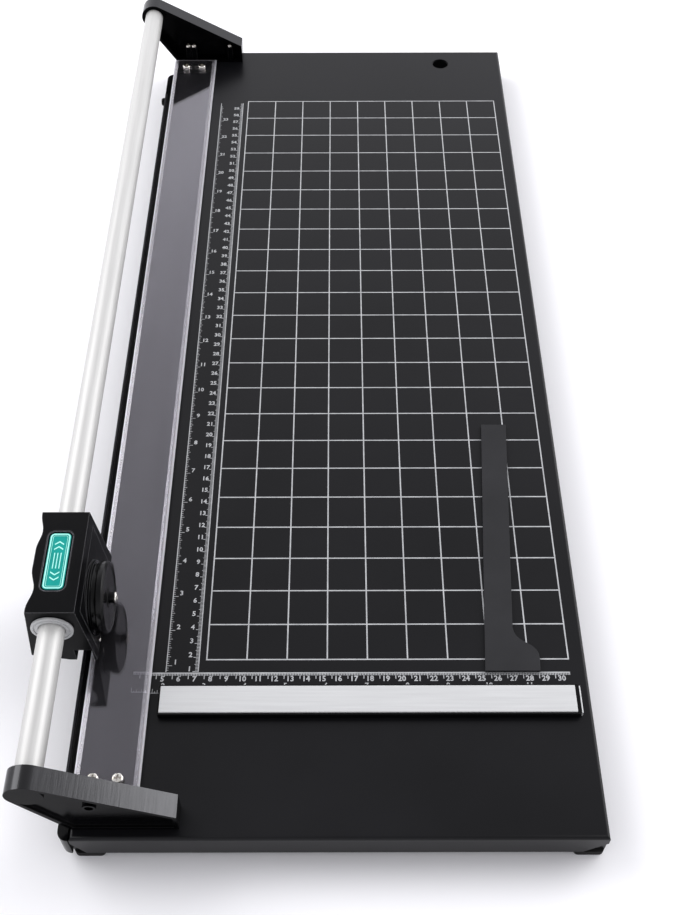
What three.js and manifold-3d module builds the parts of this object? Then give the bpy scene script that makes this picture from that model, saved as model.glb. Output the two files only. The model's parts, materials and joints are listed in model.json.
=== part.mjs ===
// A rotary paper trimmer: a folded steel table with a printed grid, a guide tube held between two end
// brackets, a cutting head that slides along the tube and carries a round blade, a fixed knife under the
// head, a clear clamping strip, a paper fence and a loose magnetic paper stop.
// Millimetres, +Z up. Table frame: X to the right, Y away from the front edge, Z = 0 on the table's top
// face, and X = Y = 0 at the zero corner of the printed grid.
import * as THREE from "three";
import { mergeVertices } from "three/addons/utils/BufferGeometryUtils.js";
import Module from "manifold-3d";

const wasm = await Module();
wasm.setup();

// ---- Driving dimensions ----
const GAP = 0.3; // clearance left between pieces that touch
const THROUGH = 1; // how far a cutting tool runs past the face it opens
const FINE = 32; // sides of the large round pieces
const ROUND = 20; // sides of the middle-sized ones
const SMALL = 10; // sides of screws and their holes

const TABLE = { left: -72, right: 239.5, front: -115.5, back: 664.5, sheet: 2, depth: 21, bend: 2.5 };
const FLOOR_Z = -26;
const HANG_HOLE = { x: 182, y: 643.7, r: 7.5 };
const CORNER_CUTS = [
  { edge: TABLE.left, inward: 1, width: 8, rise: 16 },
  { edge: TABLE.right, inward: -1, width: 14, rise: 14 },
];
const FOOT = { side: 18, plugTop: -6.5, cornerR: 3 };

const TUBE = { x: -88, z: 47.5, r: 8, wall: 1.6, socket: 8 };
const BRACKET = {
  thick: 14, endR: 11.5, left: -71, right: -8.5, height: 17, rim: 2.4, insetNear: 6, insetFar: 3,
};
const BRACKET_POSTS = [-60, -54.5, -20];
const POST = { r: 2.9, top: 14, fromInner: 4.5, screwR: 1.4, headR: 2.4, headH: 2.2, reach: -5 };
const BOSS_HOLE = { x: -55.5, z: 31, r: 2.5, ringR: 4, depth: 1.5 };
const GRUB = { r: 1.6, bottom: 35.4, fromInner: 4, below: 4 };
const WEB = { outer: 2, inner: 9 }; // depth of the pocket in a bracket's outer and inner face

const KNIFE = { face: -78.8, thick: 1.7, front: -95.5, back: 597, top: -0.2, bottom: -16 };
const BED = {
  right: -72.3, front: -116, back: 628, top: -0.4, bottom: -20, roundR: 6, screwEnd: -75, knifeHoleEnd: -74,
};
const EDGE_SCREW_Z = -9;
const BED_SCREW = { ys: [60, 270, 480], r: 1.5, headR: 3, headH: 2, length: 4.2 };
const KNIFE_SCREW = { ys: [20, 200, 380, 560], headR: 3.1, shankR: 1.4, headDepth: 1.6, tip: -74.4 };
const KNIFE_END_SCREW = { y: 590, z: -4.2, shankR: 1.3, headR: 3.6, headH: 2.9, tip: -74.5 };

const STRIP = {
  left: -73, right: -33.5, front: -90, back: 646.5, bottom: 1.3, top: 4.3, rimX: 3.6, rimZ: 1.4,
};
const PAD = { length: 12, inset: 3, top: 1 };
const STRIP_SCREWS = { xs: [-61, -46.3], ys: [-81.3, 632], shankR: 1.8, headR: 3.5, headH: 2.8, reach: -5 };

const FENCE = { left: -26.5, right: 229.2, near: -39, far: -21, top: 5.7, floor: 3, edgeR: 0.6 };
const CARRIER = { left: -27.6, right: 231.4, near: -40.2, far: -20.2, top: 5, plate: 0.9, cornerR: 1.2 };
const FENCE_SCREWS = { xs: [20, 182], shankR: 1.5, headR: 3, headH: 2, tip: 4.6 };

// The stop's foot bends in from its outer corner to the waist, and from there up to the arm.
const STOP = {
  x: 175.2, y: -9.5, length: 200, width: 18, footWidth: 34.6, footHeight: 9, shoulder: 31, thick: 2,
  cornerPull: [34.6, 16], waist: [27, 19.8], armPull: [18.6, 24],
};
const STOP_LEAN = Math.tan(THREE.MathUtils.degToRad(3.5)); // the stop leans this much to the right per length
const MAGNET = { r: 4, thick: 1, along: [24, 176] };

const HEAD = { y: -4, topY: 72.5, footY: 77, topZ: 64.8, footZ: 8, skirtZ: 14, wall: 4.5, bulkhead: 15 };
const HEAD_X = { topLeft: -101.4, footLeft: -107.2, topRight: -71.9, footRight: -67.3, keel: -84 };
const HOLLOWS = [{ y: 16.5, half: 14, depth: 3 }, { y: 58, half: 13, depth: 2.3 }];
const NOTCH = { left: -80, right: -69, top: 20, depth: 8 }; // recess in the head's near face by the blade
const COVER = { near: 7, far: 69, top: 54.7, thick: 3, bossR: 23.8, seatX: -69.5, outermost: -60 };
const COVER_SCREW = { ys: [12.5, 64], z: 11, r: 1.2, headR: 1.7, headH: 0.8, length: 6, holeEnd: -76 };
const BUSH = { boreR: 8.3, sleeveR: 9.7, flangeR: 12.75, flange: 1.5, length: 4, farSeat: 74 };
const LABEL = {
  left: -94, right: -80.9, y: 16.5, length: 40.5, cornerR: 3, thick: 1, margin: 1.6, below: 0.4,
};

const AXLE = { y: 32, z: 29.5, r: 3.5, left: -83.2, tip: -55.4 }; // y is counted from the head's near face
const BLADE = { r: 30.5, left: -79.7, right: -79.1, bevel: 2, room: 0.8, side: 0.5 };
const HUB = { r: 12, right: -74.9, room: 6, roomLeft: -77 };
const NUT = { cornerR: 6.5, fromEnd: 0.4 };
const WASHER = { r: 9, thick: 1 };
const DRUM = { r: 23.5, back: -69.2, face: -60, wall: 2, innerR: 19.5 };
const SPRING = { r: 7, wire: 0.5, turns: 4, left: -68.6, right: -63.9 };

// ---- Solids ----
function solidOf(geometry) {
  const bare = geometry.clone();
  bare.deleteAttribute("normal");
  bare.deleteAttribute("uv");
  const merged = mergeVertices(bare, 1e-4);
  const vertProperties = merged.attributes.position.array;
  const triVerts = new Uint32Array(merged.index.array);
  return new wasm.Manifold(new wasm.Mesh({ numProp: 3, vertProperties, triVerts }));
}

function geometryOf(solid) {
  const mesh = solid.getMesh();
  const geometry = new THREE.BufferGeometry();
  geometry.setAttribute("position", new THREE.BufferAttribute(mesh.vertProperties, 3));
  geometry.setIndex(new THREE.BufferAttribute(mesh.triVerts, 1));
  const flat = geometry.toNonIndexed();
  flat.computeVertexNormals();
  return flat;
}

function block(x0, x1, y0, y1, z0, z1) {
  const geometry = new THREE.BoxGeometry(x1 - x0, y1 - y0, z1 - z0);
  geometry.translate((x0 + x1) / 2, (y0 + y1) / 2, (z0 + z1) / 2);
  return solidOf(geometry);
}

// An outline extruded along one axis. Its two coordinates are (y, z) for "x", (x, z) for "y", (x, y) for "z".
function prism(axis, shape, from, to, curveSegments = 4) {
  const geometry = new THREE.ExtrudeGeometry(shape, { depth: to - from, bevelEnabled: false, curveSegments });
  if (axis === "x") {
    const turn = new THREE.Matrix4();
    turn.makeBasis(new THREE.Vector3(0, 1, 0), new THREE.Vector3(0, 0, 1), new THREE.Vector3(1, 0, 0));
    geometry.applyMatrix4(turn);
    geometry.translate(from, 0, 0);
  } else if (axis === "y") {
    geometry.rotateX(Math.PI / 2);
    geometry.translate(0, to, 0);
  } else {
    geometry.translate(0, 0, from);
  }
  return solidOf(geometry);
}

// A profile of [radius, height] points turned about an axis through (a, b), its other two coordinates.
function turned(axis, profile, a, b, segments = ROUND) {
  const points = profile.map(([r, h]) => new THREE.Vector2(r, h));
  const geometry = new THREE.LatheGeometry(points, segments);
  if (axis === "x") {
    geometry.rotateZ(-Math.PI / 2);
    geometry.translate(0, a, b);
  } else if (axis === "y") {
    geometry.translate(a, 0, b);
  } else {
    geometry.rotateX(Math.PI / 2);
    geometry.translate(a, b, 0);
  }
  return solidOf(geometry);
}

function rod(axis, r, from, to, a, b, segments = ROUND) {
  return turned(axis, [[0, from], [r, from], [r, to], [0, to]], a, b, segments);
}

function polygon(points) {
  return new THREE.Shape(points.map(([x, y]) => new THREE.Vector2(x, y)));
}

function roundedRect(x0, x1, y0, y1, r) {
  const shape = new THREE.Shape();
  shape.moveTo(x0 + r, y0);
  shape.lineTo(x1 - r, y0);
  shape.absarc(x1 - r, y0 + r, r, -Math.PI / 2, 0);
  shape.lineTo(x1, y1 - r);
  shape.absarc(x1 - r, y1 - r, r, 0, Math.PI / 2);
  shape.lineTo(x0 + r, y1);
  shape.absarc(x0 + r, y1 - r, r, Math.PI / 2, Math.PI);
  shape.lineTo(x0, y0 + r);
  shape.absarc(x0 + r, y0 + r, r, Math.PI, 1.5 * Math.PI);
  return shape;
}

// ---- Materials ----
function material(color, roughness, metalness = 0) {
  return () => new THREE.MeshStandardMaterial({ color, roughness, metalness });
}

const tablePaint = material(0x17171b, 0.45);
const castPaint = material(0x0f0f11, 0.35);
const satinSteel = material(0xd9dbe0, 0.3, 0.9);
const darkSteel = material(0x2a2a2e, 0.35, 0.7);
const screwSteel = material(0xcfc8c4, 0.25, 1);
const satinPlastic = material(0x1b1a1f, 0.5);
const glossPlastic = material(0x0b0b0d, 0.15);
const palePlastic = material(0xb9bbbf, 0.5);
const rubber = material(0x101010, 0.9);
const labelGreen = material(0x18b39c, 0.4);
const stopPaint = material(0x2b2b2f, 0.7);
const fenceAluminium = material(0xe4e6ea, 0.35, 0.8);

function clearPlastic() {
  return new THREE.MeshStandardMaterial({
    color: 0x9aa0a8, roughness: 0.08, metalness: 0, transparent: true, opacity: 0.4,
  });
}

function piece(name, solid, makeMaterial) {
  const mesh = new THREE.Mesh(geometryOf(solid), makeMaterial());
  mesh.name = name;
  return mesh;
}

// A pan-head screw that points down, its head's underside at z = 0.
function panScrew(name, shankR, headR, headH, length, makeMaterial = screwSteel) {
  const crown = 0.35 * headH; // height of the head's rounded top
  const head = [[shankR, 0], [headR, 0], [headR, headH - crown], [headR - crown, headH], [0, headH]];
  return piece(name, turned("z", [[0, -length], [shankR, -length], ...head], 0, 0, SMALL), makeMaterial);
}

// ---- Table ----
// The pan's outline with its bends, shrunk by the inset; it runs past the floor side by the extra depth.
function panSolid(inset, bottom) {
  const left = TABLE.left + inset;
  const right = TABLE.right - inset;
  const front = TABLE.front + inset;
  const back = TABLE.back - inset;
  const r = TABLE.bend - inset * 0.5;
  const across = bentProfile(left, right, bottom, -inset, r);
  const along = bentProfile(front, back, bottom, -inset, r);
  return prism("y", across, front, back).intersect(prism("x", along, left, right));
}

function bentProfile(low, high, bottom, top, r) {
  const shape = new THREE.Shape();
  shape.moveTo(low, bottom);
  shape.lineTo(high, bottom);
  shape.lineTo(high, top - r);
  shape.absarc(high - r, top - r, r, 0, Math.PI / 2);
  shape.lineTo(low + r, top);
  shape.absarc(low + r, top - r, r, Math.PI / 2, Math.PI);
  return shape;
}

// The front and back flanges end in a slanted cut at each lower corner, wider on the right.
function cornerCuts() {
  const low = -TABLE.depth - THROUGH;
  const cuts = [];
  for (const { edge, inward, width, rise } of CORNER_CUTS) {
    const outside = edge - inward * THROUGH;
    const points = [[outside, rise - TABLE.depth], [outside, low], [edge + inward * width, low]];
    const corner = polygon(orient(points));
    for (const y of [TABLE.front - THROUGH, TABLE.back - TABLE.sheet]) {
      cuts.push(prism("y", corner, y, y + TABLE.sheet + THROUGH));
    }
  }
  return cuts;
}

// Puts a triangle's points in counter-clockwise order.
function orient(points) {
  const vectors = points.map(([x, y]) => new THREE.Vector2(x, y));
  return THREE.ShapeUtils.isClockWise(vectors) ? points.reverse() : points;
}

function bracketPostY(inner, outward) {
  return inner + outward * POST.fromInner;
}

const NEAR_INNER = TABLE.front + BRACKET.insetNear + BRACKET.thick;
const FAR_INNER = TABLE.back - BRACKET.insetFar - BRACKET.thick;
const BRACKET_SIDES = [
  { name: "near", inner: NEAR_INNER, outward: -1 },
  { name: "far", inner: FAR_INNER, outward: 1 },
];

function basePlate() {
  const bottom = -TABLE.depth;
  let pan = panSolid(0, bottom).subtract(panSolid(TABLE.sheet, bottom - THROUGH));
  for (const cut of cornerCuts()) pan = pan.subtract(cut);
  const hole = (x, y, r) => rod("z", r, -TABLE.sheet - THROUGH, THROUGH, x, y, SMALL);
  pan = pan.subtract(rod("z", HANG_HOLE.r, -TABLE.sheet - THROUGH, THROUGH, HANG_HOLE.x, HANG_HOLE.y, FINE));
  for (const x of STRIP_SCREWS.xs) {
    for (const y of STRIP_SCREWS.ys) pan = pan.subtract(hole(x, y, STRIP_SCREWS.shankR + GAP));
  }
  for (const side of BRACKET_SIDES) {
    const y = bracketPostY(side.inner, side.outward);
    for (const x of BRACKET_POSTS) pan = pan.subtract(hole(x, y, POST.screwR + GAP));
  }
  const fenceY = (FENCE.near + FENCE.far) / 2;
  for (const x of FENCE_SCREWS.xs) pan = pan.subtract(hole(x, fenceY, FENCE_SCREWS.shankR + GAP));
  for (const y of BED_SCREW.ys) {
    const [from, to] = [TABLE.left - THROUGH, TABLE.left + TABLE.sheet + THROUGH];
    pan = pan.subtract(rod("x", BED_SCREW.r + GAP, from, to, y, EDGE_SCREW_Z, SMALL));
  }
  return piece("base_plate", pan, tablePaint);
}

// A rubber corner block: a plug inside the pan's corner on a wider lip that the table stands on.
function cornerFoot(name, x, y, inwardX, inwardY) {
  const lipTop = -TABLE.depth - GAP;
  const wall = TABLE.sheet + GAP;
  const reach = (edge, inward, from) => span(edge + inward * from, edge + inward * FOOT.side);
  const [lipX0, lipX1] = reach(x, inwardX, 0);
  const [lipY0, lipY1] = reach(y, inwardY, 0);
  const [plugX0, plugX1] = reach(x, inwardX, wall);
  const [plugY0, plugY1] = reach(y, inwardY, wall);
  const lip = prism("z", roundedRect(lipX0, lipX1, lipY0, lipY1, FOOT.cornerR), FLOOR_Z, lipTop, 3);
  const plug = block(plugX0, plugX1, plugY0, plugY1, lipTop - THROUGH, FOOT.plugTop);
  return piece(name, lip.add(plug), rubber);
}

function tableGroup() {
  const group = new THREE.Group();
  group.add(basePlate());
  group.add(cornerFoot("foot_front_left", TABLE.left, TABLE.front, 1, 1));
  group.add(cornerFoot("foot_front_right", TABLE.right, TABLE.front, -1, 1));
  group.add(cornerFoot("foot_back_left", TABLE.left, TABLE.back, 1, -1));
  group.add(cornerFoot("foot_back_right", TABLE.right, TABLE.back, -1, -1));
  return group;
}

// ---- Fixed knife and the bed that it is screwed to ----
function bladeBed() {
  const seat = KNIFE.face + KNIFE.thick + GAP;
  const { right, front, back, roundR } = BED;
  const outline = new THREE.Shape();
  outline.moveTo(right, front);
  outline.lineTo(right, back);
  outline.lineTo(KNIFE.face + roundR, back);
  outline.absarc(KNIFE.face + roundR, back - roundR, roundR, Math.PI / 2, Math.PI);
  outline.lineTo(KNIFE.face, KNIFE.back + GAP);
  outline.lineTo(seat, KNIFE.back + GAP);
  outline.lineTo(seat, KNIFE.front - GAP);
  outline.lineTo(KNIFE.face, KNIFE.front - GAP);
  outline.lineTo(KNIFE.face, front + roundR);
  outline.absarc(KNIFE.face + roundR, front + roundR, roundR, Math.PI, 1.5 * Math.PI);
  let bed = prism("z", outline, BED.bottom, BED.top);
  for (const y of BED_SCREW.ys) {
    bed = bed.subtract(rod("x", BED_SCREW.r + GAP, BED.screwEnd, right + THROUGH, y, EDGE_SCREW_Z, SMALL));
  }
  const knifeHoles = KNIFE_SCREW.ys.map((y) => [y, EDGE_SCREW_Z]);
  knifeHoles.push([KNIFE_END_SCREW.y, KNIFE_END_SCREW.z]);
  for (const [y, z] of knifeHoles) {
    const [from, to] = [seat - THROUGH, BED.knifeHoleEnd];
    bed = bed.subtract(rod("x", KNIFE_SCREW.shankR + GAP, from, to, y, z, SMALL));
  }
  return piece("blade_bed", bed, castPaint);
}

// Half profile of a countersunk screw along X: its head is flush with the knife's outer face.
function countersunkProfile(grow, past) {
  const headR = KNIFE_SCREW.headR + grow;
  const shankR = KNIFE_SCREW.shankR + grow;
  const tip = KNIFE_SCREW.tip + grow;
  const face = KNIFE.face + GAP / 2;
  return [
    [0, face - past], [headR, face - past], [headR, face], [shankR, face + KNIFE_SCREW.headDepth],
    [shankR, tip], [0, tip],
  ];
}

function fixedKnife() {
  const { face, thick, front, back, top, bottom } = KNIFE;
  const ground = 0.5; // depth of the relief ground behind the cutting edge
  const section = polygon([
    [face, bottom], [face + thick, bottom], [face + thick, top - ground], [face + thick - ground, top],
    [face, top],
  ]);
  let knife = prism("y", section, front, back);
  for (const y of KNIFE_SCREW.ys) {
    const sink = turned("x", countersunkProfile(GAP, THROUGH), y, EDGE_SCREW_Z, SMALL);
    knife = knife.subtract(sink);
  }
  const endHole = rod("x", KNIFE_END_SCREW.shankR + GAP, face - THROUGH, face + thick + THROUGH,
    KNIFE_END_SCREW.y, KNIFE_END_SCREW.z, SMALL);
  return piece("fixed_knife", knife.subtract(endHole), darkSteel);
}

function knifeGroup() {
  const group = new THREE.Group();
  group.add(bladeBed(), fixedKnife());
  KNIFE_SCREW.ys.forEach((y, i) => {
    const solid = turned("x", countersunkProfile(0, 0.001), 0, 0, SMALL);
    const screw = piece(`knife_screw_${i + 1}`, solid, darkSteel);
    screw.position.set(0, y, EDGE_SCREW_Z);
    group.add(screw);
  });
  const { y, z, shankR, headR, headH, tip } = KNIFE_END_SCREW;
  const seat = KNIFE.face - GAP;
  const endScrew = panScrew("knife_end_screw", shankR, headR, headH, tip - seat, castPaint);
  endScrew.rotation.y = -Math.PI / 2;
  endScrew.position.set(seat, y, z);
  group.add(endScrew);
  BED_SCREW.ys.forEach((screwY, i) => {
    const { r, headR: bedHeadR, headH: bedHeadH, length } = BED_SCREW;
    const screw = panScrew(`bed_screw_${i + 1}`, r, bedHeadR, bedHeadH, length);
    screw.rotation.y = Math.PI / 2;
    screw.position.set(TABLE.left + TABLE.sheet + GAP, screwY, EDGE_SCREW_Z);
    group.add(screw);
  });
  return group;
}

// ---- Brackets and guide tube ----
// The point where a line from (px, pz) touches the bracket's round end; side is +1 or -1.
function tangentAngle(px, pz, r, side) {
  const dx = px - TUBE.x;
  const dz = pz - TUBE.z;
  return Math.atan2(dz, dx) + side * Math.acos(r / Math.hypot(dx, dz));
}

function bracketOutline(inset) {
  const foot = GAP + inset;
  const left = BRACKET.left + inset;
  const right = BRACKET.right - inset;
  const top = BRACKET.height - 0.7 * inset;
  const r = BRACKET.endR - inset;
  const upper = tangentAngle(right, top, r, 1);
  const lower = tangentAngle(left, foot, r, -1);
  const shape = new THREE.Shape();
  shape.moveTo(left, foot);
  shape.lineTo(right, foot);
  shape.lineTo(right, top);
  shape.absarc(TUBE.x, TUBE.z, r, upper, lower + 2 * Math.PI);
  return shape;
}

function bracket(side) {
  const { inner, outward } = side;
  const outer = inner + outward * BRACKET.thick;
  const slab = (shape, from, to) => prism("y", shape, Math.min(from, to), Math.max(from, to), 10);
  const socketBoss = rod("y", BRACKET.endR - 1, ...span(inner, outer), TUBE.x, TUBE.z, FINE);
  const ring = rod("y", BOSS_HOLE.ringR, ...span(inner, outer), BOSS_HOLE.x, BOSS_HOLE.z, ROUND);
  const pocketShape = bracketOutline(BRACKET.rim);
  const postY = bracketPostY(inner, outward);

  let innerPocket = slab(pocketShape, inner - outward * THROUGH, inner + outward * WEB.inner);
  innerPocket = innerPocket.subtract(socketBoss);
  for (const x of BRACKET_POSTS) {
    innerPocket = innerPocket.subtract(rod("z", POST.r, 0, POST.top, x, postY, SMALL));
  }
  const outerPocket = slab(pocketShape, outer + outward * THROUGH, outer - outward * WEB.outer)
    .subtract(socketBoss)
    .subtract(ring);

  let body = slab(bracketOutline(0), inner, outer).subtract(innerPocket).subtract(outerPocket);
  const socket = span(inner - outward * THROUGH, inner + outward * (TUBE.socket + GAP));
  body = body.subtract(rod("y", TUBE.r + GAP, ...socket, TUBE.x, TUBE.z, FINE));
  const blind = outer - outward * (WEB.outer + BOSS_HOLE.depth);
  body = body.subtract(
    rod("y", BOSS_HOLE.r, ...span(outer + outward * THROUGH, blind), BOSS_HOLE.x, BOSS_HOLE.z, ROUND));
  for (const x of BRACKET_POSTS) {
    body = body.subtract(rod("z", POST.screwR + GAP, -THROUGH, BRACKET.height + THROUGH, x, postY, SMALL));
  }
  const grubY = inner + outward * GRUB.fromInner;
  const [grubFrom, grubTo] = [GRUB.bottom - GRUB.below, TUBE.z - TUBE.r];
  body = body.subtract(rod("z", GRUB.r + GAP, grubFrom, grubTo, TUBE.x, grubY, SMALL));
  return piece(`${side.name}_bracket`, body, castPaint);
}

function span(a, b) {
  return [Math.min(a, b), Math.max(a, b)];
}

function bracketScrews(side) {
  const y = bracketPostY(side.inner, side.outward);
  return BRACKET_POSTS.map((x, i) => {
    const length = POST.top + GAP - POST.reach;
    const name = `${side.name}_bracket_screw_${i + 1}`;
    const screw = panScrew(name, POST.screwR, POST.headR, POST.headH, length);
    screw.position.set(x, y, POST.top + GAP);
    return screw;
  });
}

function grubScrew(side) {
  const tip = TUBE.z - TUBE.r - GAP;
  const screw = piece(`${side.name}_tube_screw`, rod("z", GRUB.r, GRUB.bottom, tip, 0, 0, SMALL), screwSteel);
  screw.position.set(TUBE.x, side.inner + side.outward * GRUB.fromInner, 0);
  return screw;
}

function guideTube() {
  const from = NEAR_INNER - TUBE.socket;
  const to = FAR_INNER + TUBE.socket;
  const bore = TUBE.r - TUBE.wall;
  const profile = [[bore, from], [TUBE.r, from], [TUBE.r, to], [bore, to], [bore, from]];
  return piece("guide_tube", turned("y", profile, TUBE.x, TUBE.z, FINE), satinSteel);
}

function railGroup() {
  const group = new THREE.Group();
  group.add(guideTube());
  for (const side of BRACKET_SIDES) group.add(bracket(side), ...bracketScrews(side), grubScrew(side));
  return group;
}

// ---- Clear strip that holds the paper down beside the cut ----
// The strip's section from low to high: its top face slopes down to the rim on both sides.
function rimmedSection(low, high) {
  const { bottom, top, rimX, rimZ } = STRIP;
  return polygon([
    [low, bottom], [high, bottom], [high, top - rimZ], [high - rimX, top], [low + rimX, top],
    [low, top - rimZ],
  ]);
}

function stripGroup() {
  const group = new THREE.Group();
  const across = prism("y", rimmedSection(STRIP.left, STRIP.right), STRIP.front, STRIP.back);
  const along = prism("x", rimmedSection(STRIP.front, STRIP.back), STRIP.left, STRIP.right);
  let strip = across.intersect(along);
  const holeR = STRIP_SCREWS.shankR + GAP;
  const names = ["near", "far"];
  STRIP_SCREWS.ys.forEach((y, row) => {
    const [padX0, padX1] = [STRIP.left + PAD.inset, STRIP.right - PAD.inset];
    let pad = block(padX0, padX1, y - PAD.length / 2, y + PAD.length / 2, GAP, PAD.top);
    STRIP_SCREWS.xs.forEach((x, column) => {
      const hole = rod("z", holeR, -THROUGH, STRIP.top + THROUGH, x, y, SMALL);
      strip = strip.subtract(hole);
      pad = pad.subtract(hole);
      const { shankR, headR, headH, reach } = STRIP_SCREWS;
      const screw = panScrew(`strip_screw_${names[row]}_${column + 1}`, shankR, headR, headH,
        STRIP.top + GAP - reach);
      screw.position.set(x, y, STRIP.top + GAP);
      group.add(screw);
    });
    group.add(piece(`strip_pad_${names[row]}`, pad, rubber));
  });
  group.add(piece("clear_strip", strip, clearPlastic));
  return group;
}

// ---- Fence along the front of the table: a metal bar let into a black carrier ----
function fenceGroup() {
  const group = new THREE.Group();
  const middle = (FENCE.near + FENCE.far) / 2;
  const barBottom = FENCE.floor + GAP;
  let bar = prism("x", roundedRect(FENCE.near, FENCE.far, barBottom, FENCE.top, FENCE.edgeR),
    FENCE.left, FENCE.right, 2);
  const { left, right, near, far, top, plate, cornerR } = CARRIER;
  const channelX = [FENCE.left - GAP, FENCE.right + GAP];
  const channelY = [FENCE.near - GAP, FENCE.far + GAP];
  let carrier = prism("z", roundedRect(left, right, near, far, cornerR), GAP, top, 3)
    .subtract(block(...channelX, ...channelY, FENCE.floor, top + THROUGH));
  const { xs, shankR, headR, headH, tip } = FENCE_SCREWS;
  xs.forEach((x, i) => {
    const hole = rod("z", shankR + GAP, -THROUGH, tip + GAP, x, middle, SMALL);
    bar = bar.subtract(hole);
    carrier = carrier.subtract(hole);
    const seat = -TABLE.sheet - GAP;
    const screw = panScrew(`fence_screw_${i + 1}`, shankR, headR, headH, tip - seat);
    screw.rotation.x = Math.PI;
    screw.position.set(x, middle, seat);
    group.add(screw);
  });
  group.add(piece("fence", bar, fenceAluminium));
  group.add(piece("fence_carrier", carrier, castPaint));
  const plateFrom = right + GAP;
  const endPlate = block(plateFrom, plateFrom + plate, near + plate, far - plate, GAP, top - GAP);
  group.add(piece("fence_end_plate", endPlate, fenceAluminium));
  return group;
}

// ---- Loose magnetic paper stop ----
function stopGroup() {
  const group = new THREE.Group();
  group.position.set(STOP.x, STOP.y, GAP);
  const { length, width, footWidth, footHeight, shoulder, thick, cornerPull, waist, armPull } = STOP;
  const leaning = (x, y) => [x + STOP_LEAN * y, y];
  const outline = new THREE.Shape();
  outline.moveTo(0, 0);
  outline.lineTo(footWidth, 0);
  outline.lineTo(...leaning(footWidth, footHeight));
  outline.quadraticCurveTo(...leaning(...cornerPull), ...leaning(...waist));
  outline.quadraticCurveTo(...leaning(...armPull), ...leaning(width, shoulder));
  outline.lineTo(...leaning(width, length));
  outline.lineTo(...leaning(0, length));
  let plate = prism("z", outline, 0, thick);
  MAGNET.along.forEach((y, i) => {
    const [x] = leaning(width / 2, y);
    plate = plate.subtract(rod("z", MAGNET.r + GAP, -THROUGH, MAGNET.thick + GAP, x, y, ROUND));
    const magnet = piece(`stop_magnet_${i + 1}`, rod("z", MAGNET.r, 0, MAGNET.thick, 0, 0, ROUND), darkSteel);
    magnet.position.set(x, y, 0);
    group.add(magnet);
  });
  group.add(piece("paper_stop", plate, stopPaint));
  return group;
}

// ---- Cutting head ----
// In the head's group, y is counted from its near face.
function headX(side, z) {
  const t = (HEAD.topZ - z) / (HEAD.topZ - (side === "left" ? HEAD.skirtZ : HEAD.footZ));
  return side === "left"
    ? THREE.MathUtils.lerp(HEAD_X.topLeft, HEAD_X.footLeft, t)
    : THREE.MathUtils.lerp(HEAD_X.topRight, HEAD_X.footRight, t);
}

function headSection(inset) {
  const top = HEAD.topZ - inset;
  const drop = inset > 0 ? THROUGH : 0; // the cavity opens through the bottom
  return polygon([
    [headX("left", top) + inset, top],
    [headX("left", HEAD.skirtZ) + inset, HEAD.skirtZ - drop],
    [HEAD_X.keel, HEAD.footZ - drop],
    [headX("right", HEAD.footZ) - inset, HEAD.footZ - drop],
    [headX("right", top) - inset, top],
  ]);
}

// A finger hollow in the left flank: a smooth wave cut that leans with the flank.
function fingerHollow(centre, half, depth) {
  const steps = 10;
  const outside = HEAD_X.topLeft - 12;
  const points = [[outside, centre - half]];
  for (let i = 0; i <= steps; i++) {
    const along = -1 + (2 * i) / steps;
    const wave = 0.5 * (1 + Math.cos(Math.PI * along));
    points.push([HEAD_X.topLeft - 0.01 + depth * wave, centre + half * along]);
  }
  points.push([outside, centre + half]);
  const depthZ = HEAD.topZ + THROUGH;
  const geometry = new THREE.ExtrudeGeometry(polygon(points), { depth: depthZ, bevelEnabled: false });
  const slope = (HEAD_X.topLeft - HEAD_X.footLeft) / (HEAD.topZ - HEAD.skirtZ);
  const shear = new THREE.Matrix4().set(1, 0, slope, -slope * HEAD.topZ, 0, 1, 0, 0, 0, 0, 1, 0, 0, 0, 0, 1);
  geometry.applyMatrix4(shear);
  return solidOf(geometry);
}

// The slanted slab of the right flank that the blade cover fills. grow widens it into the pocket that it
// sits in, and out is how far it stands out of the flank.
function coverSlab(grow, out) {
  const top = COVER.top + grow;
  const inner = COVER.thick + grow;
  const low = HEAD.footZ - (grow > 0 ? THROUGH : 0);
  const section = polygon([
    [headX("right", low) - inner, low],
    [headX("right", low) + out, low],
    [headX("right", top) + out, top],
    [headX("right", top) - inner, top],
  ]);
  return prism("y", section, COVER.near - grow, COVER.far + grow);
}

// The rounded pocket in the head's top that the label sits in, a little below the surface.
function labelRecess() {
  const { left, right, y, length, cornerR, thick, margin, below } = LABEL;
  const [near, far] = [y - margin, y + length + margin];
  const outline = roundedRect(left - margin, right + margin, near, far, cornerR + margin);
  return prism("z", outline, HEAD.topZ - thick - GAP - below, HEAD.topZ + THROUGH, 3);
}

function coverScrewHoles() {
  const { ys, z, r, holeEnd } = COVER_SCREW;
  return ys.map((y) => rod("x", r + GAP, holeEnd, COVER.outermost, y, z, SMALL));
}

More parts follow.
